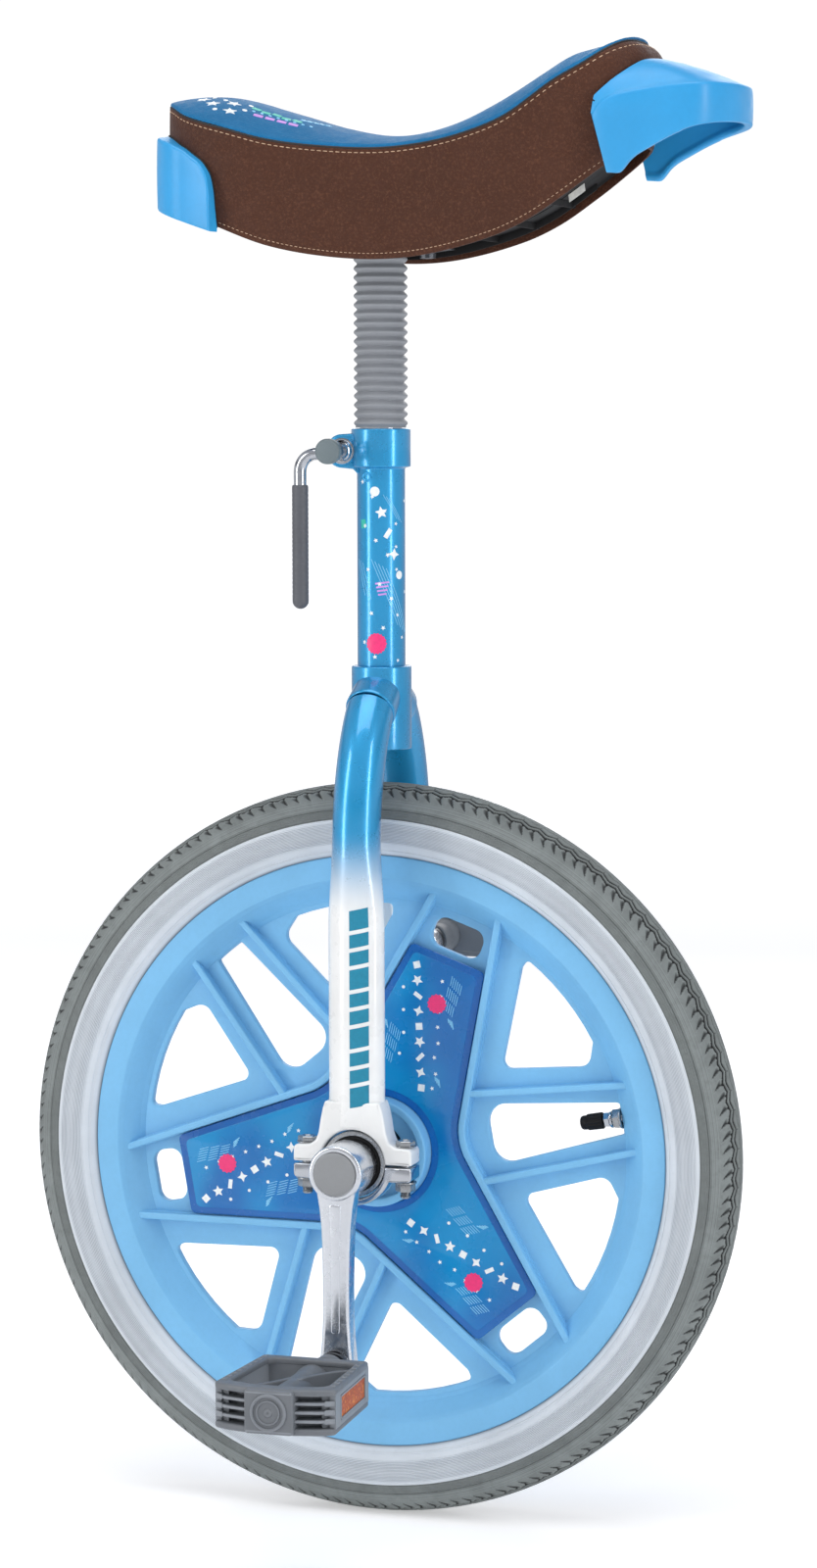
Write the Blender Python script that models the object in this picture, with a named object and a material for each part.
"""A unicycle standing upright on the ground at z = 0.

Sizes are in mm, measured from the middle of the wheel axle: +X forwards, +Y the rider's
left, -Y the rider's right, +Z up. build_mesh() raises everything by the axle height and
scales it to metres. The right crank points straight down, the left one straight up.
"""
import bpy
import bmesh
import math
from mathutils import Vector

# ---------------------------------------------------------------- driving dimensions
WHEEL_FACETS = 40                # facets round the tyre, rim and inner tube
TYRE_R = 197.4                   # outer radius on the facet corners
AXLE_H = TYRE_R * math.cos(math.pi / WHEEL_FACETS)    # the lowest facet lies on the ground
WHEEL_PHASE = -math.pi / 2 + math.pi / WHEEL_FACETS   # turns a flat facet straight down

CRANK = 101.0                    # axle to pedal spindle
LEG_Y = 44.0                     # fork leg axis from the wheel plane
TUBE_R = 12.7                    # seat tube, outer radius
POST_R = 11.1                    # seat post, outer radius
CROWN_R = 15.9                   # cup of the fork crown
LUG_BOTTOM, LUG_TOP = 363.6, 384.0
PIVOT_X, PIVOT_Z = -18.4, 372.2  # seat clamp bolt axis, parallel to Y
PIVOT = (PIVOT_X, 0, PIVOT_Z)
BELLOWS_BOTTOM, RIDGES, RIDGE_PITCH = 384.4, 19, 4.76
BELLOWS_TOP = BELLOWS_BOTTOM + RIDGES * RIDGE_PITCH
BEARING_R = 17.4
BEARING_IN, BEARING_OUT = 40.2, 51.0     # bearing faces from the wheel plane

ORIGIN = (0, 0, 0)
SIDES = ((-1, "right"), (1, "left"))
ENDS = ((1, "front"), (-1, "rear"))


# ---------------------------------------------------------------- materials
def material(name, colour, metallic=0.0, roughness=0.5):
    paint = bpy.data.materials.new(name)
    paint.use_nodes = True
    shader = paint.node_tree.nodes["Principled BSDF"]
    shader.inputs["Base Color"].default_value = (*colour, 1.0)
    shader.inputs["Metallic"].default_value = metallic
    shader.inputs["Roughness"].default_value = roughness
    paint.diffuse_color = (*colour, 1.0)
    return paint


STEEL = material("steel", (0.62, 0.63, 0.65), metallic=1.0, roughness=0.3)
CHROME = material("chrome", (0.8, 0.81, 0.83), metallic=1.0, roughness=0.12)
ALUMINIUM = material("aluminium", (0.75, 0.76, 0.78), metallic=1.0, roughness=0.25)
BLUE_PAINT = material("blue_paint", (0.06, 0.28, 0.62), metallic=0.4, roughness=0.3)
WHITE_PAINT = material("white_paint", (0.82, 0.82, 0.80), metallic=0.1, roughness=0.35)
WHEEL_BLUE = material("wheel_blue", (0.22, 0.47, 0.80), roughness=0.4)
COVER_BLUE = material("cover_blue", (0.0, 0.15, 0.62), roughness=0.25)
TREAD = material("tread", (0.24, 0.26, 0.26), roughness=0.8)
RUBBER = material("rubber", (0.03, 0.03, 0.03), roughness=0.7)
GREY = material("grey", (0.30, 0.31, 0.33), roughness=0.55)
DARK = material("dark", (0.09, 0.095, 0.10), roughness=0.5)
BROWN = material("brown", (0.11, 0.045, 0.03), roughness=0.6)
TOP_BLUE = material("topblue", (0.03, 0.19, 0.48), roughness=0.55)
BUMPER_BLUE = material("bumper", (0.12, 0.42, 0.80), roughness=0.35)
ORANGE = material("orange", (0.65, 0.17, 0.01), roughness=0.2)
FOAM = material("foam", (0.75, 0.70, 0.50), roughness=0.9)


# ---------------------------------------------------------------- meshes and booleans
def link(name, mesh):
    body = bpy.data.objects.new(name, mesh)
    bpy.context.scene.collection.objects.link(body)
    return body


def build_mesh(name, points, faces):
    """closed body from points in mm about the axle"""
    mesh = bpy.data.meshes.new(name)
    mesh.from_pydata([(x / 1000, y / 1000, (z + AXLE_H) / 1000) for x, y, z in points], [], faces)
    work = bmesh.new()
    work.from_mesh(mesh)
    bmesh.ops.remove_doubles(work, verts=work.verts, dist=1e-7)
    bmesh.ops.recalc_face_normals(work, faces=work.faces)
    work.to_mesh(mesh)
    work.free()
    return link(name, mesh)


def boolean(body, tool, operation):
    """applies the operation to the body and removes the tool"""
    modifier = body.modifiers.new("op", 'BOOLEAN')
    modifier.solver = 'EXACT'
    modifier.operation = operation
    modifier.object = tool
    bpy.context.view_layer.update()
    depsgraph = bpy.context.evaluated_depsgraph_get()
    mesh = bpy.data.meshes.new_from_object(body.evaluated_get(depsgraph))
    body.modifiers.clear()
    body.data = mesh
    bpy.data.objects.remove(tool, do_unlink=True)


def cut(body, *tools):
    for tool in tools:
        boolean(body, tool, 'DIFFERENCE')
    return body


def join(body, *tools):
    for tool in tools:
        boolean(body, tool, 'UNION')
    return body


def merge(bodies):
    """several closed bodies that do not touch, as one operand"""
    work = bmesh.new()
    for body in bodies:
        work.from_mesh(body.data)
    mesh = bpy.data.meshes.new("merged")
    work.to_mesh(mesh)
    work.free()
    for body in bodies:
        bpy.data.objects.remove(body, do_unlink=True)
    return link("merged", mesh)


def finish(part, name, paint, sharp=35):
    """names, cleans, triangulates and paints a part; sharp is the angle in degrees above
    which an edge stays hard, or None for flat shading"""
    part.name = name
    part.data.name = name
    work = bmesh.new()
    work.from_mesh(part.data)
    bmesh.ops.remove_doubles(work, verts=work.verts, dist=1e-6)
    bmesh.ops.dissolve_degenerate(work, edges=work.edges, dist=1e-6)
    bmesh.ops.triangulate(work, faces=work.faces)
    bmesh.ops.recalc_face_normals(work, faces=work.faces)
    work.to_mesh(part.data)
    work.free()
    part.data.materials.clear()
    own_paint = paint.copy()
    own_paint.name = name + "_material"
    part.data.materials.append(own_paint)
    if sharp is not None:
        part.data.shade_smooth()
        part.data.set_sharp_from_angle(angle=math.radians(sharp))
    return part


# ---------------------------------------------------------------- solids
def place(axis, across, up, along, centre):
    if axis == 'Y':
        return (centre[0] + across, centre[1] + along, centre[2] + up)
    if axis == 'Z':
        return (centre[0] + across, centre[1] + up, centre[2] + along)
    return (centre[0] + along, centre[1] + across, centre[2] + up)


def angles(count):
    return [2 * math.pi * k / count for k in range(count)]


def lathe(profile, facets=24, axis='Y', centre=ORIGIN, phase=0.0):
    """turns a section of (radius, along) corners, either closed or with both ends on the axis"""
    points, faces, rows = [], [], []
    for radius, along in profile:
        start = len(points)
        if radius < 1e-6:
            points.append(place(axis, 0, 0, along, centre))
        else:
            for angle in angles(facets):
                turn = phase + angle
                points.append(place(axis, radius * math.cos(turn), radius * math.sin(turn),
                                    along, centre))
        rows.append(range(start, len(points)))
    for i, row in enumerate(rows):
        after = rows[(i + 1) % len(rows)]
        if len(row) == 1 and len(after) == 1:
            continue
        for k in range(facets):
            k2 = (k + 1) % facets
            if len(row) == 1:
                faces.append((row[0], after[k], after[k2]))
            elif len(after) == 1:
                faces.append((row[k], after[0], row[k2]))
            else:
                faces.append((row[k], after[k], after[k2], row[k2]))
    return build_mesh("lathe", points, faces)


def cylinder(radius, start, end, facets=24, axis='Y', centre=ORIGIN, phase=0.0):
    return lathe([(0, start), (radius, start), (radius, end), (0, end)],
                 facets, axis, centre, phase)


def tube(inner, outer, start, end, facets=24, axis='Y', centre=ORIGIN):
    return lathe([(inner, start), (outer, start), (outer, end), (inner, end)],
                 facets, axis, centre)


def prism(outline, start, end, axis='Y', centre=ORIGIN):
    count = len(outline)
    points = [place(axis, across, up, along, centre)
              for along in (start, end) for across, up in outline]
    faces = [tuple(range(count)), tuple(range(2 * count - 1, count - 1, -1))]
    for i in range(count):
        j = (i + 1) % count
        faces.append((i, j, count + j, count + i))
    return build_mesh("prism", points, faces)


def box(x0, x1, y0, y1, z0, z1):
    return prism([(x0, z0), (x1, z0), (x1, z1), (x0, z1)], y0, y1)


def loft(rings):
    """skin over rings of equal point count, capped at both ends"""
    count = len(rings[0])
    points = [point for ring in rings for point in ring]
    faces = []
    for i in range(len(rings) - 1):
        for k in range(count):
            k2 = (k + 1) % count
            faces.append((i * count + k, i * count + k2,
                          (i + 1) * count + k2, (i + 1) * count + k))
    faces.append(tuple(range(count)))
    last = (len(rings) - 1) * count
    faces.append(tuple(last + k for k in range(count - 1, -1, -1)))
    return build_mesh("loft", points, faces)


# ---------------------------------------------------------------- outlines and curves
def rotate(point, degrees):
    angle = math.radians(degrees)
    return (point[0] * math.cos(angle) - point[1] * math.sin(angle),
            point[0] * math.sin(angle) + point[1] * math.cos(angle))


def rotate_all(points, degrees):
    return [rotate(point, degrees) for point in points]


def mirror(half):
    """the other half of an outline that is symmetric in its first column"""
    return [(-x, along) for x, along in reversed(half)]


def both_halves(half):
    """section symmetric in its second column"""
    return half + [(radius, -along) for radius, along in reversed(half)]


def to_side(side, profile):
    """profile given as distances from the wheel plane, laid towards that side"""
    return [(radius, side * along) for radius, along in profile]


def span(side, near, far):
    return sorted((side * near, side * far))


def fillet(corners, radii, steps=3, closed=True):
    """rounds the corners of a polyline with arcs; radii is one radius or one per corner"""
    rounded = []
    count = len(corners)
    for i in range(count):
        corner = Vector(corners[i])
        radius = radii[i] if isinstance(radii, list) else radii
        if radius <= 0 or (not closed and i in (0, count - 1)):
            rounded.append((corner.x, corner.y))
            continue
        back = Vector(corners[i - 1]) - corner
        ahead = Vector(corners[(i + 1) % count]) - corner
        back.normalize()
        ahead.normalize()
        half = math.acos(max(-1, min(1, back.dot(ahead)))) / 2
        reach = radius / math.tan(half)
        bisector = (back + ahead).normalized()
        centre = corner + bisector * (radius / math.sin(half))
        first = corner + back * reach - centre
        last = corner + ahead * reach - centre
        start = math.atan2(first.y, first.x)
        sweep = math.atan2(last.y, last.x) - start
        while sweep > math.pi:
            sweep -= 2 * math.pi
        while sweep < -math.pi:
            sweep += 2 * math.pi
        for k in range(steps + 1):
            angle = start + sweep * k / steps
            rounded.append((centre.x + radius * math.cos(angle),
                            centre.y + radius * math.sin(angle)))
    return rounded


def wall_outline(line, half):
    """closed outline of a wall of constant thickness along an open polyline"""
    left, right = [], []
    last = len(line) - 1
    for i in range(last + 1):
        point = Vector(line[i])
        before = Vector(line[max(i - 1, 0)])
        after = Vector(line[min(i + 1, last)])
        arriving = (point - before).normalized() if i > 0 else (after - point).normalized()
        leaving = (after - point).normalized() if i < last else arriving
        travel = (arriving + leaving).normalized()
        normal = Vector((-travel.y, travel.x))
        offset = half / max(0.3, normal.dot(Vector((-arriving.y, arriving.x))))
        left.append((point.x + normal.x * offset, point.y + normal.y * offset))
        right.append((point.x - normal.x * offset, point.y - normal.y * offset))
    return left + right[::-1]


def straight_curve(x, table):
    """straight lines between the (x, value) rows, level beyond both ends"""
    if x <= table[0][0]:
        return table[0][1]
    for (x0, value0), (x1, value1) in zip(table, table[1:]):
        if x <= x1:
            t = (x - x0) / (x1 - x0)
            return value0 + (value1 - value0) * t
    return table[-1][1]


def smooth_curve(x, table):
    """Hermite curve through the (x, value) rows, level beyond both ends"""
    if x <= table[0][0]:
        return table[0][1]
    if x >= table[-1][0]:
        return table[-1][1]
    i = next(k for k in range(len(table) - 1) if x <= table[k + 1][0])
    (x0, value0), (x1, value1) = table[i], table[i + 1]
    before = table[max(i - 1, 0)]
    after = table[min(i + 2, len(table) - 1)]
    step = x1 - x0
    slope0 = (value1 - before[1]) / (x1 - before[0])
    slope1 = (after[1] - value0) / (after[0] - x0)
    t = (x - x0) / step
    return ((2 * t ** 3 - 3 * t ** 2 + 1) * value0 + (t ** 3 - 2 * t ** 2 + t) * step * slope0 +
            (-2 * t ** 3 + 3 * t ** 2) * value1 + (t ** 3 - t ** 2) * step * slope1)


# ---------------------------------------------------------------- wheel
VALVE_ANGLE = 9.7                # direction of the valve, degrees from +X towards +Z
FIRST_ARM = 69.7                 # direction of the first of three wheel arms, same sense
ARMS = [FIRST_ARM + 120 * k for k in range(3)]
WEB_H = 2.5                      # web half thickness
WEB_R = 136.5                    # web radius, just inside the rim ring
CUT_H = 5                        # half depth of the cutters through the web
RIB_H = 9.6                      # rib half height
RIB_R = 145.0                    # radius at which the rib offset below is measured
RIB_OFFSET, RIB_TAPER = 18.3, 0.175      # rib distance from its arm's axis, growth inwards
RIB_BEND_R = 30                  # bend where two ribs meet
COVER_INSET = 2.7                # gap from the rib centre line to the cover
TUBE_CENTRE_R, TUBE_WALL = 175.0, 1.4    # inner tube

# half sections of the tyre as (radius, y), from the bead to the tread
TYRE_OUTER = [(153.0, -9.6), (159.6, -10.5), (166.0, -17.4), (175.0, -20.2),
              (184.5, -18.6), (192.0, -12.8), (TYRE_R, -4.2)]
# and from the tread back to the bead
TYRE_INNER = [(193.0, -3.5), (183.0, -14.8), (166.0, -12.8), (153.0, -6.6)]
INNER_TUBE_HALF = [(158.0, -4.0), (172.0, -13.0), (187.5, -8.4)]
RIM_HALF = [(147.0, -13.4), (159.0, -13.4), (159.0, -11.3), (152.3, -10.6), (148.6, -6.4)]
HUB_HALF = [(14.4, -9), (24.6, -9), (24.6, -17), (29.0, -17)]

# windows in the web as (outwards, across)
ARM_SLOT = [(114.4, 14.2), (114.4, -14.2), (130.6, -14.2), (130.6, 14.2)]
MIDDLE_WINDOW = [(61.5, 16.8), (61.5, -16.8), (136.0, -8.3), (136.0, 8.3)]
SIDE_WINDOW = [(73.5, 34.0), (121.5, 29.3), (126.3, 40.5), (99.5, 86.0), (93.5, 86.0)]


def rib_offset(along):
    return RIB_OFFSET + (RIB_R - along) * RIB_TAPER


def rib_meeting(inset=0):
    """radius at which the rib lines of two neighbouring arms cross"""
    return ((RIB_OFFSET - inset + RIB_R * RIB_TAPER) /
            (math.sin(math.radians(60)) + 0.5 * RIB_TAPER))


def valve_rod(start, end, radius, facets=12):
    """cylinder along the valve's wheel radius"""
    outwards = rotate((1, 0), VALVE_ANGLE)
    across = rotate((0, 1), VALVE_ANGLE)
    return loft([[(outwards[0] * along + across[0] * radius * math.cos(angle),
                   radius * math.sin(angle),
                   outwards[1] * along + across[1] * radius * math.cos(angle))
                  for angle in angles(facets)] for along in (start, end)])


def tyre():
    back = [(radius, -y) for radius, y in reversed(TYRE_INNER)]
    section = both_halves(TYRE_OUTER) + back + TYRE_INNER
    finish(lathe(section, WHEEL_FACETS, phase=WHEEL_PHASE), "tyre", TREAD)


def inner_tube():
    outside = both_halves(INNER_TUBE_HALF)
    inside = []
    for radius, y in outside:
        spoke = Vector((radius - TUBE_CENTRE_R, y))
        spoke = spoke * (1 - TUBE_WALL / spoke.length)
        inside.append((TUBE_CENTRE_R + spoke.x, spoke.y))
    part = cut(lathe(outside, WHEEL_FACETS, phase=WHEEL_PHASE),
               lathe(inside, WHEEL_FACETS, phase=WHEEL_PHASE),
               valve_rod(150, 165, radius=3.0, facets=8))
    finish(part, "inner_tube", RUBBER)


def rim_web():
    """disc inside the rim, opened by windows between and on the arms"""
    web = prism([(WEB_R * math.cos(angle + WHEEL_PHASE), WEB_R * math.sin(angle + WHEEL_PHASE))
                 for angle in angles(WHEEL_FACETS)], -WEB_H, WEB_H)
    windows = [cylinder(20.0, -CUT_H, CUT_H)]
    for arm in ARMS:
        outlines = [(fillet(MIDDLE_WINDOW, [9, 9, 0, 0], 3), arm - 60)]
        for half in (1, -1):
            corners = [(out, across * half) for out, across in SIDE_WINDOW]
            outlines.append((fillet(corners, [0, 6, 0, 0, 0], 1), arm - 60))
        outlines.append((fillet(ARM_SLOT, 6.0, 1), arm))
        for outline, direction in outlines:
            windows.append(prism(rotate_all(outline, direction), -CUT_H, CUT_H))
    return cut(web, merge(windows))


def wheel_rim():
    walls, bars = [], []
    wall_end = 145.2             # ribs run just into the rim
    bar_h = RIB_H - 0.2
    for arm in ARMS:
        line = fillet([rotate((wall_end, -rib_offset(wall_end)), arm),
                       rotate((rib_meeting(), 0), arm - 60),
                       rotate((wall_end, rib_offset(wall_end)), arm - 120)],
                      [0, RIB_BEND_R, 0], 4, closed=False)
        walls.append(prism(wall_outline(line, 2.0), -RIB_H, RIB_H))
        for half in (1, -1):
            line = rotate_all([(54.6, 23.7 * half), (144.0, 17.6 * half)], arm - 60)
            bars.append(prism(wall_outline(line, 1.9), -bar_h, bar_h))
    section = both_halves(RIM_HALF) + [(135.0, WEB_H), (135.0, -WEB_H)]
    part = join(lathe(section, WHEEL_FACETS, phase=WHEEL_PHASE), rim_web(),
                merge(walls), merge(bars), lathe(both_halves(HUB_HALF), 36))
    finish(cut(part, valve_rod(128, 152, radius=4.4)), "wheel_rim", WHEEL_BLUE)


def cover(side, name):
    """three-armed plate lying between the ribs"""
    arm_end = 112
    half = rib_offset(arm_end) - COVER_INSET
    corners, radii = [], []
    for arm in ARMS:
        corners += rotate_all([(arm_end, -half), (arm_end, half)], arm)
        corners.append(rotate((rib_meeting(COVER_INSET), 0), arm + 60))
        radii += [3, 3, RIB_BEND_R + COVER_INSET]
    part = cut(prism(fillet(corners, radii, 4), side * 6.2, side * 7.9),
               cylinder(29.4, side * 4, side * 10, 36))
    finish(part, "cover_" + name, COVER_BLUE)


def valve():
    """stem through the rim, lock nut and screw cap, placed by distance from the axle"""
    stem = join(valve_rod(120.5, 158.2, radius=2.7), valve_rod(152.6, 157.0, radius=2.95))
    finish(stem, "valve_stem", STEEL)
    nut = cut(valve_rod(129.6, 133.6, radius=5.0, facets=6), valve_rod(128, 136, radius=3.0))
    finish(nut, "valve_nut", STEEL, sharp=None)
    cap = cut(valve_rod(112.0, 122.5, radius=4.2), valve_rod(120.2, 124, radius=3.0))
    finish(cap, "valve_cap", RUBBER)


# ---------------------------------------------------------------- axle, bearings, cranks
CRANK_FACE = 82.0                # outer face of the crank from the wheel plane
CRANK_IN = 70.0                  # inner face of the crank arm
BOSS_IN = 60.0                   # where the crank boss steps out to its full radius
BOSS_R = 14.5
EYE_R = 9.0                      # rounded pedal end of the crank
AXLE_SQUARE = 6.0                # half width of the axle's square
BALL_PATH_R = 13.1
BALLS = 8

# half of the crank arm's outline up to its eye: (x, distance from the axle)
CRANK_ARM = [(-10.8, 6), (-9.6, 14), (-7.9, 26), (-7.4, 40), (-7.3, CRANK - 9)]
# turned sections as (radius, distance from the wheel plane)
CRANK_BOSS = [(0, 51.6), (13.4, 51.6), (13.4, BOSS_IN), (BOSS_R, BOSS_IN + 1),
              (BOSS_R, CRANK_FACE - 1), (BOSS_R - 1, CRANK_FACE), (0, CRANK_FACE)]
CRANK_BOLT = [(0, 58), (4.0, 58), (4.0, 76.9), (6.8, 76.9), (6.8, 80.0), (0, 80.0)]
CRANK_CAP = [(0, 83.5), (10.9, 83.5), (11.4, 83.0), (11.4, 82.3), (10.4, 82.3),
             (10.4, 80.4), (0, 80.4)]
PEDAL_SPINDLE = [(0, 71.0), (6.2, 71.0), (6.2, 82.4), (8.4, 82.4), (8.4, 87.0),
                 (5.2, 87.0), (5.2, 168.0), (0, 168.0)]


def axle():
    square = AXLE_SQUARE
    part = join(cylinder(8.45, -59.5, 59.5, 20),
                box(-square, square, -74.0, 74.0, -square, square))
    bolt_holes = merge([cylinder(4.3, -80, -55, 14), cylinder(4.3, 55, 80, 14)])
    finish(cut(part, bolt_holes), "axle", STEEL)


def crank(side, name):
    eye_z = CRANK * side
    left = [(x, along * side) for x, along in CRANK_ARM] + [(-EYE_R, eye_z)]
    eye = []
    steps = 6
    for k in range(1, steps):
        angle = math.pi * k / steps
        eye.append((-EYE_R * math.cos(angle), eye_z + EYE_R * math.sin(angle) * side))
    square = AXLE_SQUARE + 0.3
    part = join(lathe(to_side(side, CRANK_BOSS)),
                prism(left + eye + mirror(left), side * CRANK_IN, side * (CRANK_FACE - 0.25)))
    part = cut(part,
               box(-square, square, *span(side, 55, 74.6), -square, square),
               cylinder(8.9, *span(side, 50, 59.9), 20),                # round axle end
               cylinder(4.5, *span(side, 70, 90), 12, phase=0.21),      # crank bolt
               cylinder(10.9, *span(side, 76.6, 90), 20, phase=0.13),   # cap recess
               cylinder(6.6, *span(side, 60, 90), 20, centre=(0, 0, eye_z)))
    finish(part, "crank_" + name, ALUMINIUM)
    finish(lathe(to_side(side, CRANK_BOLT), 12), "crank_bolt_" + name, STEEL)
    finish(lathe(to_side(side, CRANK_CAP), 20), "crank_cap_" + name, GREY)


def bearing(side, name):
    faces = (side * BEARING_IN, side * BEARING_OUT)
    finish(tube(15.2, BEARING_R, *faces), "bearing_outer_" + name, STEEL)
    finish(tube(8.8, 11.0, *faces, 20), "bearing_inner_" + name, STEEL)
    middle = side * (BEARING_IN + BEARING_OUT) / 2
    ring = tube(12.75, 13.45, middle - 0.8, middle + 0.8, 16)
    balls = []
    for k in range(BALLS):
        angle = 2 * math.pi * (k + 0.5) / BALLS
        ball = bmesh.new()
        bmesh.ops.create_icosphere(ball, subdivisions=1, radius=1.88)
        points = [(vert.co.x + BALL_PATH_R * math.cos(angle), vert.co.y + middle,
                   vert.co.z + BALL_PATH_R * math.sin(angle)) for vert in ball.verts]
        triangles = [tuple(vert.index for vert in face.verts) for face in ball.faces]
        ball.free()
        balls.append(build_mesh("ball", points, triangles))
    finish(join(ring, merge(balls)), "ball_cage_" + name, CHROME)


# ---------------------------------------------------------------- pedals
PEDAL_IN, PEDAL_OUT = 112.5, 187.0       # inner and outer faces from the wheel plane
PEDAL_FLANK_END = 178.0                  # where the straight flanks stop
PEDAL_H = 11.6                           # half height
PEDAL_HALF_IN, PEDAL_HALF_OUT = 28.5, 32.0   # half width at the two flank ends


def pedal_half(y):
    t = (y - PEDAL_IN) / (PEDAL_FLANK_END - PEDAL_IN)
    return PEDAL_HALF_IN + (PEDAL_HALF_OUT - PEDAL_HALF_IN) * t


def whole_plan(half):
    """mirrors the +X half of a plan and starts at its inner -X corner"""
    other = mirror(half)
    return other[-1:] + half + other[:-1]


def flank_plan(end, y0, y1, depth, proud):
    """strip along the front or rear flank, from depth inside it to proud outside it"""
    return [(end * (pedal_half(y0) - depth), y0), (end * (pedal_half(y0) + proud), y0),
            (end * (pedal_half(y1) + proud), y1), (end * (pedal_half(y1) - depth), y1)]


def pedal(side, name):
    centre = (0, 0, CRANK * side)

    def slab(plan, low, high):
        return prism([(x, side * y) for x, y in plan], low, high, 'Z', centre)

    finish(lathe(to_side(side, PEDAL_SPINDLE), 20, centre=centre),
           "pedal_spindle_" + name, DARK)

    half_in, half_out = pedal_half(PEDAL_IN), pedal_half(PEDAL_FLANK_END)
    outside = whole_plan([(half_in, PEDAL_IN), (half_out, PEDAL_FLANK_END),
                          (24.0, 181.5), (12.8, 184.0)])
    opening = whole_plan([(half_in - 5.0, PEDAL_IN + 6.0),
                          (half_out - 5.6, PEDAL_FLANK_END - 3.5), (12.0, 177.5)])
    # pockets that leave fins either side of the middle block
    pockets = []
    for end in (1, -1):
        for k in range(4):
            low = -9.3 + k * 4.9
            x0, x1 = span(end, 13.5, 28.4)
            pockets.append(slab([(x0, 170.6), (x1, 170.6), (x1, 190.0), (x0, 190.0)],
                                low, low + 3.4))
    recesses = [slab(flank_plan(end, 119.0, 167.0, depth=2.6, proud=4), -6.8, 6.8)
                for end in (1, -1)]
    body = cut(slab(outside, -PEDAL_H, PEDAL_H), slab(opening, -PEDAL_H - 2, PEDAL_H + 2),
               merge(pockets), merge(recesses))

    swept_web = [(-half_in + 3, PEDAL_IN + 12.0), (-6.0, 143.0), (6.0, 150.0),
                 (half_out - 3, PEDAL_FLANK_END - 9.0), (half_out - 3, PEDAL_FLANK_END - 12.5),
                 (8.0, 145.0), (-4.0, 138.0), (-half_in + 3, PEDAL_IN + 8.5)]
    block_x, block_z = 13.1, PEDAL_H - 0.5
    block = [(-block_x, -block_z), (block_x, -block_z), (block_x, block_z), (-block_x, block_z)]
    medallion = [(0, 185.0), (9.5, 185.0), (9.5, 187.6), (8.8, 188.2), (0, 188.2)]
    body = join(body, slab(swept_web, -8.4, 8.4),
                cylinder(9.0, *span(side, 90.5, 184.0), 20, centre=centre),   # spindle barrel
                prism(block, side * 178.5, side * PEDAL_OUT, 'Y', centre),
                lathe(to_side(side, medallion), 28, centre=centre))
    body = cut(body, cylinder(5.4, *span(side, 80, 170.0), 20, centre=centre))
    finish(body, "pedal_body_" + name, GREY, sharp=30)
    for end, end_name in ENDS:
        finish(slab(flank_plan(end, 119.4, 166.6, depth=2.2, proud=0.1), -6.4, 6.4),
               "reflector_%s_%s" % (end_name, name), ORANGE, sharp=None)


# ---------------------------------------------------------------- seat tube and fork crown
TUBE_BORE = 11.4
LUG_R = 15.7
EAR_R = 8.6                      # round end of the clamp ears
SLOT = 1.3                       # half width of the clamp slot
SLOT_Z = 358.0                   # bottom of the slot, where a round hole ends it
CROWN_BOTTOM, CROWN_TOP = 214.8, 258.8
CUP_R, CUP_FLOOR = 13.0, 216.6
# control points (y, z) of the curve from the crown down to the straight leg
LEG_CURVE = [(8.0, 245.0), (24.0, 240.0), (LEG_Y, 204.0), (LEG_Y, 165.0)]


def seat_tube():
    tube_section = [(TUBE_BORE, 217.0), (TUBE_R, 217.0), (TUBE_R, LUG_BOTTOM),
                    (LUG_R, LUG_BOTTOM + 0.6), (LUG_R, LUG_TOP), (TUBE_BORE, LUG_TOP)]
    ear = []
    for k in range(9):
        angle = math.pi / 2 + math.pi * k / 8
        ear.append((PIVOT_X + EAR_R * math.cos(angle), PIVOT_Z + EAR_R * math.sin(angle)))
    ear += [(-12.4, PIVOT_Z - EAR_R), (-12.4, LUG_TOP - 1.2), (PIVOT_X + 2, LUG_TOP - 1.6)]
    part = join(lathe(tube_section, 32, 'Z'),
                *[prism(ear, *span(side, SLOT, 9.0)) for side in (-1, 1)])
    part = cut(part, box(-40, -5, -SLOT, SLOT, SLOT_Z, 390.0),
               cylinder(2.4, -20, -2, 14, 'X', centre=(0, 0, SLOT_Z)),
               cylinder(3.4, -20, 20, 16, centre=PIVOT))
    finish(part, "seat_tube", BLUE_PAINT)


def leg_point(t):
    weights = [(1 - t) ** 3, 3 * t * (1 - t) ** 2, 3 * t * t * (1 - t), t ** 3]
    return tuple(sum(weight * point[i] for weight, point in zip(weights, LEG_CURVE))
                 for i in (0, 1))


def leg_socket(side, radius, start, end):
    """cylinder along the top of the leg curve, placed by distance from the curve's start"""
    top = Vector((0, *leg_point(0.0)))
    travel = (Vector((0, *leg_point(0.22))) - top).normalized()
    normal = Vector((0, -travel.z, travel.y))
    rings = []
    for along in (start, end):
        centre = top + travel * along
        rings.append([(radius * math.cos(angle),
                       side * (centre.y + normal.y * radius * math.sin(angle)),
                       centre.z + normal.z * radius * math.sin(angle))
                      for angle in angles(20)])
    return loft(rings)


def fork_crown():
    """cup for the seat tube, with a short socket each side for the legs"""
    cup = [(0, CROWN_BOTTOM), (CROWN_R, CROWN_BOTTOM), (CROWN_R, CROWN_TOP),
           (CUP_R, CROWN_TOP), (CUP_R, CUP_FLOOR), (0, CUP_FLOOR)]
    part = lathe(cup, 32, 'Z')
    for side in (-1, 1):
        part = join(part, cut(leg_socket(side, 15.2, -2.0, 11.0),
                              cylinder(CUP_R, CUP_FLOOR, 270, 32, 'Z')))
    part = cut(part, *[leg_socket(side, 13.0, 8.6, 22.0) for side in (-1, 1)])
    finish(part, "fork_crown", BLUE_PAINT)


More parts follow.
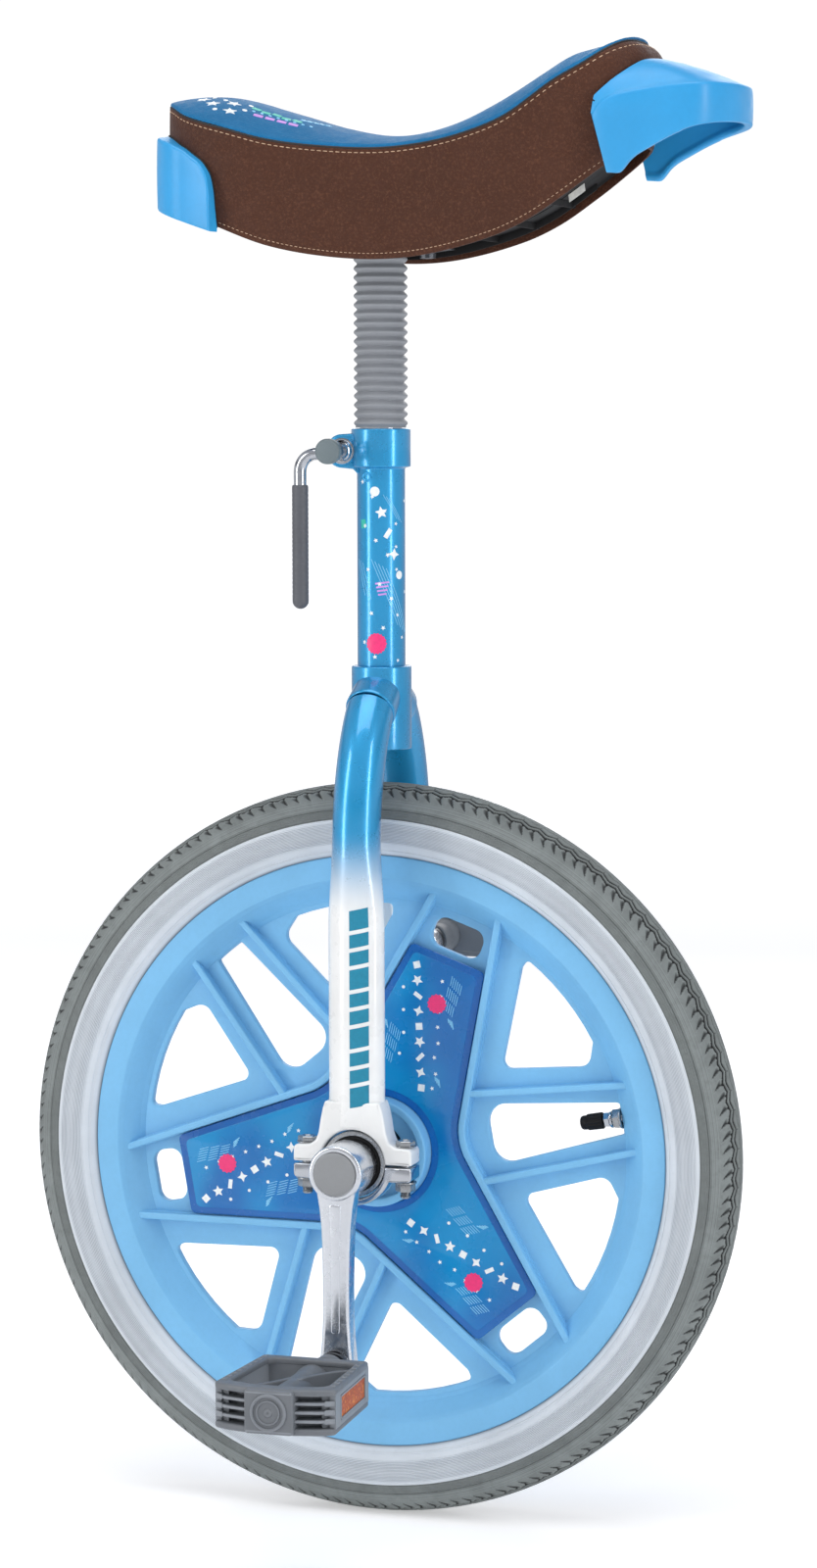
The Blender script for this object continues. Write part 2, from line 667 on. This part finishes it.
# ---------------------------------------------------------------- fork legs and housings
LEG_R, LEG_WALL = 12.7, 1.6
HOUSING_OUT, HOUSING_IN = 53.5, 37.5     # bearing housing faces
EAR_X = 32.5                             # half span of the housing ears
BOLT_X = 27.0
BOLT_Y = (HOUSING_OUT + HOUSING_IN) / 2
BOLT_HEAD_Z = 10.25                      # underside of the bolt head
CAP_R = 22.0                             # round underside of the bearing cap

# places along the leg curve at which rings are set
LEG_STEPS = [0.18, 0.3, 0.42, 0.54, 0.66, 0.78, 0.9, 1.0]
BORE_STEPS = [0.10, 0.2, 0.35, 0.54, 0.72, 0.88, 1.0]
# rear half outlines (x, z) of the housing's two parts
UPPER_HALF = [(-EAR_X, 0.5), (-EAR_X, 9.6), (-21.6, 9.9), (-18.8, 13.4), (-16.6, 20.0),
              (-15.3, 32.0)]
LOWER_EAR = [(-EAR_X, -0.5), (-EAR_X, -8.2), (-22.5, -8.4)]


def leg_rings(side, radius, steps, bottom, facets):
    """rings along the leg: round at the crown, widened fore and aft towards the housing"""
    path = [leg_point(t) for t in steps] + [(LEG_Y, z) for z in (145.0, 125.0, 75.0, bottom)]
    rings = []
    for i, (y, z) in enumerate(path):
        before = path[max(i - 1, 0)]
        after = path[min(i + 1, len(path) - 1)]
        travel = Vector((after[0] - before[0], after[1] - before[1])).normalized()
        blend = min(1.0, max(0.0, (172.0 - z) / 48.0))
        blend = blend * blend * (3 - 2 * blend)
        radius_x = radius + 2.4 * blend
        radius_y = radius - 2.5 * blend
        rings.append([(radius_x * math.cos(angle),
                       side * (y - travel.y * radius_y * math.sin(angle)),
                       z + travel.x * radius_y * math.sin(angle))
                      for angle in angles(facets)])
    return rings


def bearing_bore(side):
    return cylinder(BEARING_R + 0.3, *span(side, 30, 60))


def housing_holes(side, low, high):
    return merge([cylinder(3.2, low, high, 14, 'Z', centre=(x, side * BOLT_Y, 0))
                  for x in (-BOLT_X, BOLT_X)])


def fork_leg(side, name):
    """leg with the upper half of the bearing housing"""
    housing = prism(UPPER_HALF + mirror(UPPER_HALF), *span(side, HOUSING_IN, HOUSING_OUT))
    part = join(loft(leg_rings(side, LEG_R, LEG_STEPS, 24.0, 16)), housing)
    part = cut(part, bearing_bore(side),
               loft(leg_rings(side, LEG_R - LEG_WALL, BORE_STEPS, 30.0, 12)),
               leg_socket(side, 30.0, -30.0, 8.9),     # trims the top square in its socket
               cylinder(CROWN_R + 0.3, 205, 270, 32, 'Z'),
               housing_holes(side, -2, 20))
    finish(part, "fork_leg_" + name, WHITE_PAINT)


def bearing_cap(side, name):
    arc = []
    for k in range(11):
        angle = math.radians(205 + 13 * k)
        arc.append((CAP_R * math.cos(angle), CAP_R * math.sin(angle)))
    part = cut(prism(LOWER_EAR + arc + mirror(LOWER_EAR), *span(side, HOUSING_IN, HOUSING_OUT)),
               bearing_bore(side), housing_holes(side, -20, 2))
    finish(part, "bearing_cap_" + name, WHITE_PAINT)


def housing_bolts(side, name):
    head = BOLT_HEAD_Z
    bolt = [(0, head + 2.6), (3.0, head + 2.3), (4.9, head + 0.9), (4.9, head),
            (2.85, head), (2.85, -16.2), (0, -16.2)]
    for end, end_name in ENDS:
        centre = (end * BOLT_X, side * BOLT_Y, 0)
        finish(lathe(bolt, 10, 'Z', centre), "housing_bolt_%s_%s" % (end_name, name), STEEL)
        finish(tube(3.2, 4.9, -9.0, -14.2, 8, 'Z', centre),
               "housing_nut_%s_%s" % (end_name, name), STEEL)


# ---------------------------------------------------------------- seat clamp
LEVER_Y = -28.6                  # the lever hangs behind the tube, on the right
LEVER_X = -35.4
LEVER_R = 3.3

# turned sections about the pivot as (radius, y)
CLAMP_BOLT = [(0, 12.6), (4.0, 12.4), (5.6, 11.0), (5.6, 9.4), (3.1, 9.4), (3.1, -20.0),
              (0, -20.0)]
LEVER_HUB = [(0, -33.0), (5.4, -33.0), (5.4, -23.0), (4.6, -21.8), (4.6, -10.9),
             (3.35, -10.9), (3.35, -21.0), (0, -21.0)]
LEVER_CAP = [(0, -35.8), (6.0, -35.8), (6.7, -35.0), (6.7, -30.4), (5.6, -30.4),
             (5.6, -33.4), (0, -33.4)]
# turned section about the hanging rod as (radius, z)
LEVER_GRIP = [(0, 289.6), (2.4, 290.1), (3.9, 291.4), (4.3, 293.0), (4.3, 354.6),
              (3.6, 354.6), (3.6, 291.8), (0, 291.8)]


def lever_rod():
    """rod that leaves the pivot backwards, bends and hangs down"""
    bend_r = 9.0
    path = [(PIVOT_X - 1.0, 371.0)]
    for k in range(6):
        angle = math.radians(90 + 18 * k)
        path.append((-26.2 + bend_r * math.cos(angle), 361.4 + bend_r * math.sin(angle)))
    path += [(-35.3, 340.0), (LEVER_X, 292.5)]
    rings = []
    for i, (x, z) in enumerate(path):
        before = path[max(i - 1, 0)]
        after = path[min(i + 1, len(path) - 1)]
        travel = Vector((after[0] - before[0], after[1] - before[1])).normalized()
        rings.append([(x - travel.y * LEVER_R * math.cos(angle),
                       LEVER_Y + LEVER_R * math.sin(angle),
                       z + travel.x * LEVER_R * math.cos(angle)) for angle in angles(12)])
    finish(join(lathe(LEVER_HUB, 20, centre=PIVOT), loft(rings)), "lever_rod", CHROME)


def lever_cap():
    cap = finish(lathe(LEVER_CAP, centre=PIVOT), "lever_cap", GREY)
    # the notch for the rod is cut in the finished cap, which is then finished again
    notch = box(-40, PIVOT_X - 2.0, -32.4, -28.0, 365.0, 377.0)
    finish(cut(cap, notch), "lever_cap", GREY)


def seat_clamp():
    finish(lathe(CLAMP_BOLT, 16, centre=PIVOT), "clamp_bolt", CHROME)
    finish(tube(3.4, 5.6, -9.3, -10.5, 20, centre=PIVOT), "clamp_washer", CHROME)
    lever_rod()
    lever_cap()
    finish(lathe(LEVER_GRIP, 16, 'Z', (LEVER_X, LEVER_Y, 0)), "lever_grip", DARK)


# ---------------------------------------------------------------- bellows and seat post
def post_bellows():
    bore, end_r, peak_r, valley_r = 11.8, 13.0, 14.25, 12.35
    profile = [(bore, BELLOWS_BOTTOM), (end_r, BELLOWS_BOTTOM)]
    for k in range(RIDGES):
        z = BELLOWS_BOTTOM + k * RIDGE_PITCH
        if k > 0:
            profile.append((valley_r, z))
        profile.append((peak_r, z + RIDGE_PITCH * 0.5))
    profile += [(end_r, BELLOWS_TOP), (bore, BELLOWS_TOP)]
    finish(lathe(profile, 12, 'Z', phase=math.pi / 12), "post_bellows", GREY)


def seat_post():
    finish(tube(9.4, POST_R, 290.0, 479.0, 28, 'Z'), "seat_post", STEEL)


# ---------------------------------------------------------------- saddle
SADDLE_REAR, SADDLE_FRONT = -111.0, 150.5
SCREW_X = 26.0
PLATE = 1.6                      # bracket plate thickness

# side view, (x, z): the seam between side and top covers, the top's ridge, the bottom edge
SEAM_Z = [(-111, 552.3), (-103, 550.8), (-92, 545.6), (-82, 542.3), (-67, 538.3), (-44, 532.2),
          (-18.5, 528.8), (10, 527.4), (33.5, 529.2), (57, 534.1), (80, 542.8), (105, 559.6),
          (121, 568.3), (134.5, 576.0), (142.5, 579.4), (147, 579.8), (150.5, 578.0)]
RIDGE_Z = [(-111, 553.3), (-105.5, 554.6), (-98.5, 555.8), (-90, 556.4), (-77, 555.7),
           (-65.6, 553.2), (-56.5, 550.4), (-39, 545.2), (-18, 539.0), (7, 534.3), (26, 534.6),
           (48, 540.3), (69, 550.4), (94.4, 565.2), (109, 573.9), (120, 577.9), (128, 579.9),
           (136, 580.6), (143, 580.9), (150.5, 579.0)]
BOTTOM_Z = [(-111, 505), (-95, 498), (-69, 487), (-46, 478.5), (-19, 473.2), (10, 471.2),
            (37, 473.6), (69, 480.8), (90, 489), (110, 501.5), (128, 514.3), (150.5, 531)]
# plan, (x, half width) at the seam and at the bottom edge
SEAM_HALF = [(-111, 10), (-109.5, 20), (-106.5, 30), (-100.5, 40), (-92, 48.5), (-82, 54.5),
             (-70, 57.5), (-50, 56.5), (-23, 52), (10, 45.5), (40, 42.8), (70, 42.2), (100, 42),
             (122, 41), (134, 37.6), (142, 32.5), (147, 26), (150.5, 14)]
BOTTOM_HALF = [(-111, 8), (-106, 22), (-101, 33), (-93, 43), (-83, 48.8), (-69, 51.5),
               (-46, 48.5), (-19, 44.5), (10, 40), (37, 37), (69, 35), (100, 33), (122, 31.5),
               (137, 26), (146, 19), (150.5, 10)]
# side wall: (share of the height from bottom to seam, outward bulge)
WALL_LEVELS = [(0.0, 0.0), (0.4, 1.6), (0.78, 1.3), (1.0, 0.0)]

# stations along the covers, closer together at the ends, and along the base and padding
COVER_X = [SADDLE_REAR + (SADDLE_FRONT - SADDLE_REAR) * (0.5 - 0.5 * math.cos(math.pi * k / 14))
           for k in range(15)]
BASE_X = [-98.0 + (134.0 + 98.0) * k / 12 for k in range(13)]
# round the plan as (x, side): forwards along +Y, back along -Y
WALL_STATIONS = ([(x, 1.0) for x in COVER_X] + [(SADDLE_FRONT, 0.0)] +
                 [(x, -1.0) for x in reversed(COVER_X)] + [(SADDLE_REAR, 0.0)])


def seam_z(x):
    return smooth_curve(x, SEAM_Z)


def bottom_z(x):
    return smooth_curve(x, BOTTOM_Z)


def seam_half(x):
    return smooth_curve(x, SEAM_HALF)


def bottom_half(x):
    return smooth_curve(x, BOTTOM_HALF)


def dome_z(x, share):
    """underside of the top cover; share is -1 to 1 across the width"""
    ridge = max(smooth_curve(x, RIDGE_Z), seam_z(x) + 0.8)
    return seam_z(x) + 0.45 + (ridge - seam_z(x)) * (1 - abs(share) ** 2.4)


def rear_taper(x):
    """grows from 0 to 1 towards the rounded rear end, where the side cover curves in"""
    return min(1.0, max(0.0, (-84.0 - x) / 14.0))


def side_wall(inset):
    """a column of points from bottom edge to seam per station, moved inwards by inset"""
    plan = [(x, seam_half(x) * side) for x, side in WALL_STATIONS]
    columns = []
    for i, (x, side) in enumerate(WALL_STATIONS):
        travel = (Vector(plan[(i + 1) % len(plan)]) - Vector(plan[i - 1])).normalized()
        inwards = Vector((travel.y, -travel.x))
        column = []
        for share, bulge in WALL_LEVELS:
            half = bottom_half(x) + (seam_half(x) - bottom_half(x)) * share + bulge
            z = bottom_z(x) + (seam_z(x) - bottom_z(x)) * share
            wall_x = x
            if x == SADDLE_REAR:
                wall_x = x + (1 - share) * 6.0 - bulge
            if x == SADDLE_FRONT:
                wall_x = x - (1 - share) * 8.0 + bulge
            point = Vector((wall_x, half * side)) + inwards * inset
            column.append((point.x, point.y, z))
        columns.append(column)
    return columns


def saddle_side_cover():
    """closed band between an outer and an inner wall"""
    outer, inner = side_wall(0.0), side_wall(1.8)
    points = [point for column in outer + inner for point in column]
    faces = []
    count, height = len(outer), len(outer[0])
    shift = count * height
    for i in range(count):
        here = i * height
        there = (i + 1) % count * height
        for k in range(height - 1):
            faces.append((here + k, there + k, there + k + 1, here + k + 1))
            faces.append((shift + here + k, shift + here + k + 1,
                          shift + there + k + 1, shift + there + k))
        faces.append((here, shift + here, shift + there, there))
        top = height - 1
        faces.append((here + top, there + top, shift + there + top, shift + here + top))
    finish(build_mesh("band", points, faces), "saddle_side_cover", BROWN, sharp=50)


def sheet(stations, strips, half, top, low):
    """closed slab between two height fields over the plan"""
    points, faces = [], []
    for height in (top, low):
        for x in stations:
            for k in range(strips + 1):
                share = -1 + 2 * k / strips
                points.append((x, half(x) * share, height(x, share)))
    row = strips + 1
    last = len(stations) - 1
    shift = len(stations) * row
    for i in range(last):
        for k in range(strips):
            at = i * row + k
            faces.append((at, at + row, at + row + 1, at + 1))
            faces.append((shift + at, shift + at + 1, shift + at + row + 1, shift + at + row))
    for i in range(last):
        for k in (0, strips):
            at = i * row + k
            faces.append((at, at + row, shift + at + row, shift + at))
    for k in range(strips):
        for i in (0, last):
            at = i * row + k
            faces.append((at, at + 1, shift + at + 1, shift + at))
    return build_mesh("sheet", points, faces)


def saddle_top_cover():
    part = sheet(COVER_X, 6, half=lambda x: seam_half(x) - 0.3,
                 top=lambda x, share: dome_z(x, share) + 1.6, low=dome_z)
    finish(part, "saddle_top_cover", TOP_BLUE, sharp=50)


def screw_holes():
    return merge([cylinder(2.9, 465, 490, 12, 'Z', centre=(x, 0, 0))
                  for x in (-SCREW_X, SCREW_X)])


def saddle_base():
    part = sheet(BASE_X, 2,
                 half=lambda x: max(bottom_half(x) - 3.4 - 3.2 * rear_taper(x), 4.0),
                 top=lambda x, share: bottom_z(x) + 9.0,
                 low=lambda x, share: bottom_z(x) + 6.0)
    part = cut(part, cylinder(14.2, 460, 490, 20, 'Z'), screw_holes())
    finish(part, "saddle_base", RUBBER)


def saddle_foam():
    """padding that fills the covers from the base up to the top cover"""
    rings = []
    for x in BASE_X:
        taper = 3.0 * rear_taper(x)
        low_half = max(bottom_half(x) - 5.2 - taper, 4.0)
        top_half = max(seam_half(x) - 5.2 - taper, 5.0)
        low_z, shoulder_z = bottom_z(x) + 9.6, seam_z(x) - 3.0
        crest = [(x, top_half * share, dome_z(x, share) - 2.2) for share in (0.6, 0.0, -0.6)]
        rings.append([(x, -low_half, low_z), (x, low_half, low_z), (x, top_half, shoulder_z),
                      *crest, (x, -top_half, shoulder_z)])
    finish(loft(rings), "saddle_foam", FOAM)


def plate_top(x):
    return bottom_z(x) + 5.7


def seat_bracket():
    """plate bolted under the base, with a collar round the post"""
    plate = sheet([-36.0 + 72.0 * k / 6 for k in range(7)], 2, half=lambda x: 17.0,
                  top=lambda x, share: plate_top(x),
                  low=lambda x, share: plate_top(x) - PLATE)
    part = join(plate, cylinder(13.4, BELLOWS_TOP + 0.4, 478.2, axis='Z'))
    part = cut(part, cylinder(POST_R + 0.3, 460, 484, axis='Z', phase=0.05), screw_holes())
    finish(part, "seat_bracket", STEEL)


def saddle_bolts():
    for end, end_name in ENDS:
        x = end * SCREW_X
        head = plate_top(x) - PLATE - 0.9
        tip = bottom_z(x) + 9.0
        bolt = [(0, head - 3.0), (4.2, head - 2.6), (4.6, head), (2.6, head), (2.6, tip),
                (0, tip)]
        finish(lathe(bolt, 12, 'Z', (x, 0, 0)), "saddle_bolt_" + end_name, STEEL)


# ---------------------------------------------------------------- bumpers
# front: heights (x, z) of the lower edge and the outer ridge
FRONT_LOW_Z = [(126, 513.0), (134, 513.2), (154, 524.0), (168.6, 531.4), (180, 535.5),
               (198, 539.0)]
FRONT_RIDGE_Z = [(126, 545.5), (131.6, 550.0), (140, 552.7), (154.4, 555.1), (168.6, 556.8),
                 (198, 558.0)]
# front: inner edge round the saddle's nose, as (half width, x) and (x, z)
NOSE_X = [(0, 154.2), (14, 154.2), (22, 152.2), (28.5, 148.6), (35, 142.8), (38.8, 137.4),
          (41, 132), (42.8, 126)]
NOSE_Z = [(126, 552.0), (132, 557.0), (140, 563.5), (148.6, 570.0), (154.2, 571.6)]
# rear: heights (x, z) of the lower and upper edges
REAR_LOW_Z = [(-117.5, 504.0), (-113, 499.5), (-102.5, 495.3), (-82, 488.5), (-73.5, 486.0)]
REAR_TOP_Z = [(-117.5, 536.5), (-110.6, 535.7), (-92, 529.0), (-85.5, 525.0),
              (-79.3, 520.5), (-75.5, 515.0), (-73.5, 507.0)]


def offset_point(plan, inwards, distance, z):
    return (plan[0] + inwards[0] * distance, plan[1] + inwards[1] * distance, z)


def front_bumper():
    """wall in a U round the nose, roofed over to an inner edge"""
    bend_x, half = 172.0, 45.2   # where the straight sides end, and their half width
    bend_share = 0.55            # share of the stations given to the bend
    thick = 2.6
    rings = []
    for k in range(-10, 11):
        t = k / 10.0
        side = 1 if t > 0 else -1
        if abs(t) > bend_share:
            back = (abs(t) - bend_share) / (1 - bend_share)
            plan = (bend_x - back * 46.0, half * side)
            inwards = (0.0, -1.0 * side)
            edge_y = (30.0 + 12.4 * back ** 0.7) * side
        else:
            angle = (t / bend_share) * math.pi / 2
            plan = (bend_x + 25.5 * max(math.cos(angle), 0.0) ** 0.8, half * math.sin(angle))
            inwards = Vector((-math.cos(angle), -math.sin(angle) * 0.9)).normalized()
            edge_y = 30.0 * math.sin(angle)
        edge_x = straight_curve(abs(edge_y), NOSE_X)
        edge_z = straight_curve(edge_x, NOSE_Z)
        low = straight_curve(plan[0], FRONT_LOW_Z)
        ridge = straight_curve(plan[0], FRONT_RIDGE_Z)
        middle = (plan[0] * 0.5 + edge_x * 0.5, plan[1] * 0.5 + edge_y * 0.5)
        middle_z = ridge + (edge_z - ridge) * 0.7
        rings.append([offset_point(plan, inwards, 0, low),
                      offset_point(plan, inwards, 0, ridge),
                      (*middle, middle_z),
                      (edge_x, edge_y, edge_z),
                      (edge_x, edge_y, edge_z - thick),
                      (*middle, middle_z - thick),
                      offset_point(plan, inwards, thick, ridge - thick * 0.7),
                      offset_point(plan, inwards, thick, low)])
    finish(loft(rings), "front_bumper", BUMPER_BLUE)


def rear_bumper():
    """wall wrapped round the rear end, with a short lip turned in at its top"""
    bend_x, half = -92.0, 55.5
    bend_share = 0.6
    thick, lip, rise = 2.0, 2.2, 1.2
    rings = []
    for k in range(-6, 7):
        t = k / 6.0
        side = 1 if t > 0 else -1
        if abs(t) > bend_share:
            ahead = (abs(t) - bend_share) / (1 - bend_share)
            plan = (bend_x + ahead * 18.5, (half + 5.9 * ahead ** 0.8) * side)
            inwards = Vector((0.1, -1.0 * side)).normalized()
        else:
            angle = (t / bend_share) * math.pi / 2
            plan = (bend_x - 25.5 * max(math.cos(angle), 0.0), half * math.sin(angle))
            inwards = Vector((math.cos(angle), -math.sin(angle))).normalized()
        low = straight_curve(plan[0], REAR_LOW_Z)
        top = straight_curve(plan[0], REAR_TOP_Z)
        section = [(0, low), (0, top), (lip, top + rise), (lip, top + rise - thick),
                   (thick, top - thick * 0.6), (thick, low)]
        rings.append([offset_point(plan, inwards, distance, z) for distance, z in section])
    finish(loft(rings), "rear_bumper", BUMPER_BLUE)


# ---------------------------------------------------------------- the whole unicycle
def main():
    for old in list(bpy.data.objects):
        bpy.data.objects.remove(old, do_unlink=True)
    tyre()
    inner_tube()
    wheel_rim()
    for side, name in SIDES:
        cover(side, name)
    valve()
    finish(tube(8.8, 14.0, -36.0, 36.0), "hub_sleeve", STEEL)
    axle()
    for side, name in SIDES:
        crank(side, name)
        bearing(side, name)
        pedal(side, name)
    seat_tube()
    fork_crown()
    for side, name in SIDES:
        fork_leg(side, name)
        bearing_cap(side, name)
        housing_bolts(side, name)
    seat_clamp()
    post_bellows()
    seat_post()
    saddle_side_cover()
    saddle_top_cover()
    saddle_base()
    saddle_foam()
    seat_bracket()
    saddle_bolts()
    front_bumper()
    rear_bumper()


main()
